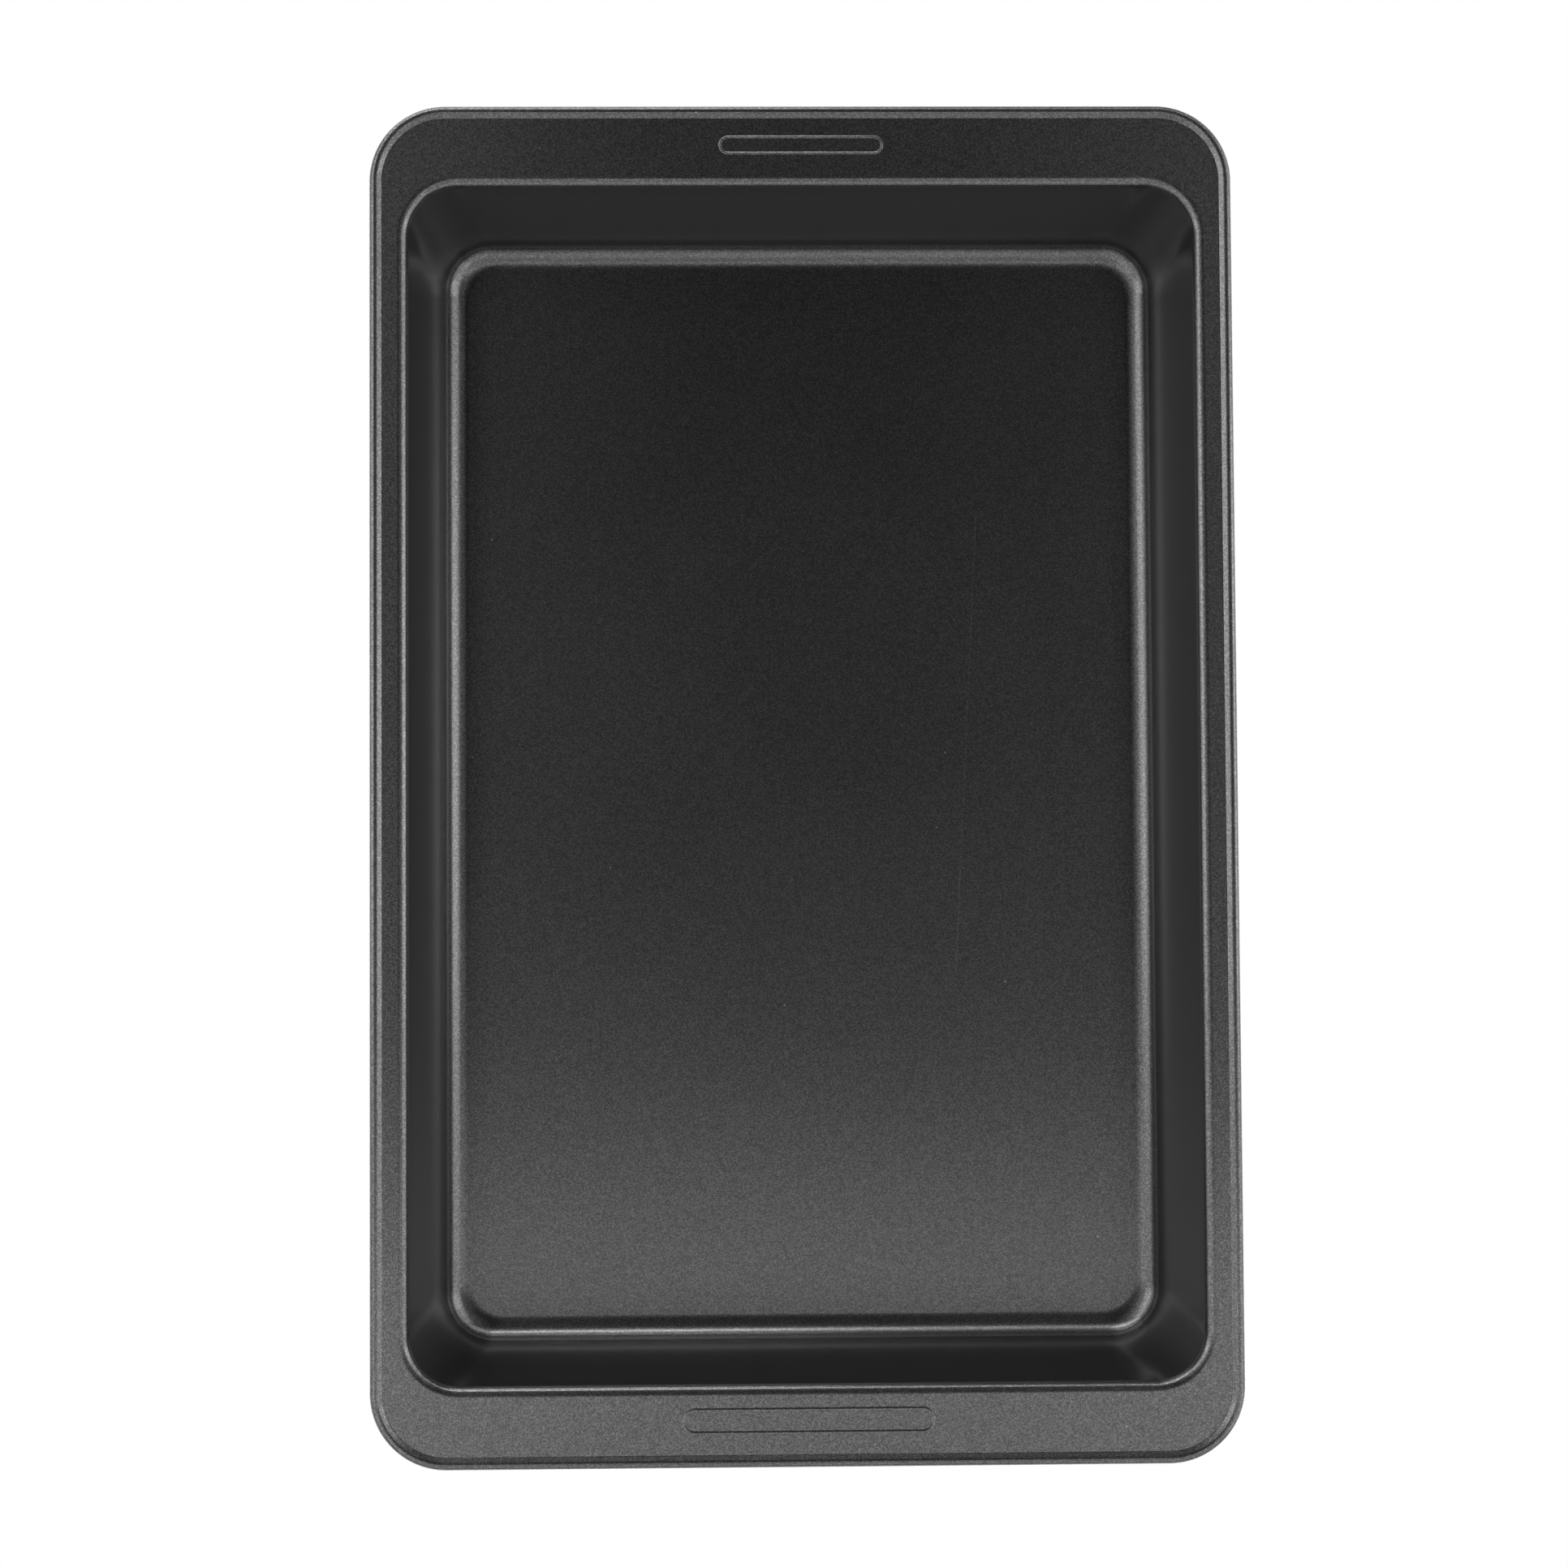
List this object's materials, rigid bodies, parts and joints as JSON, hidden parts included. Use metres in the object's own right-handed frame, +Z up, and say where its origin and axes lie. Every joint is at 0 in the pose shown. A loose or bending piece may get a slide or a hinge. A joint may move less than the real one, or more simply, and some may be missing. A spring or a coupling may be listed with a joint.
{
  "type": "deep baking tray",
  "caption": "Deep rectangular baking tray: drawn sheet-steel pan with drafted walls, rounded corners, wide flat end grips and a raised rim rolled over a steel wire.",
  "frame": {"origin": "middle of the base's underside, in the plane that the tray rests on", "axes": "+Z up out of the opening; Y along the tray's length, from one end grip to the other; X across its width"},
  "size_m": [0.2764, 0.4334, 0.06],
  "materials": {
    "nonstick_coated_steel": "charcoal non-stick coating with a fine metallic fleck, satin gloss",
    "galvanised_wire": "drawn galvanised steel wire, dull"
  },
  "bodies": {
    "root": {"tray_pan": "nonstick_coated_steel", "rim_wire": "galvanised_wire"}
  },
  "joints": []
}
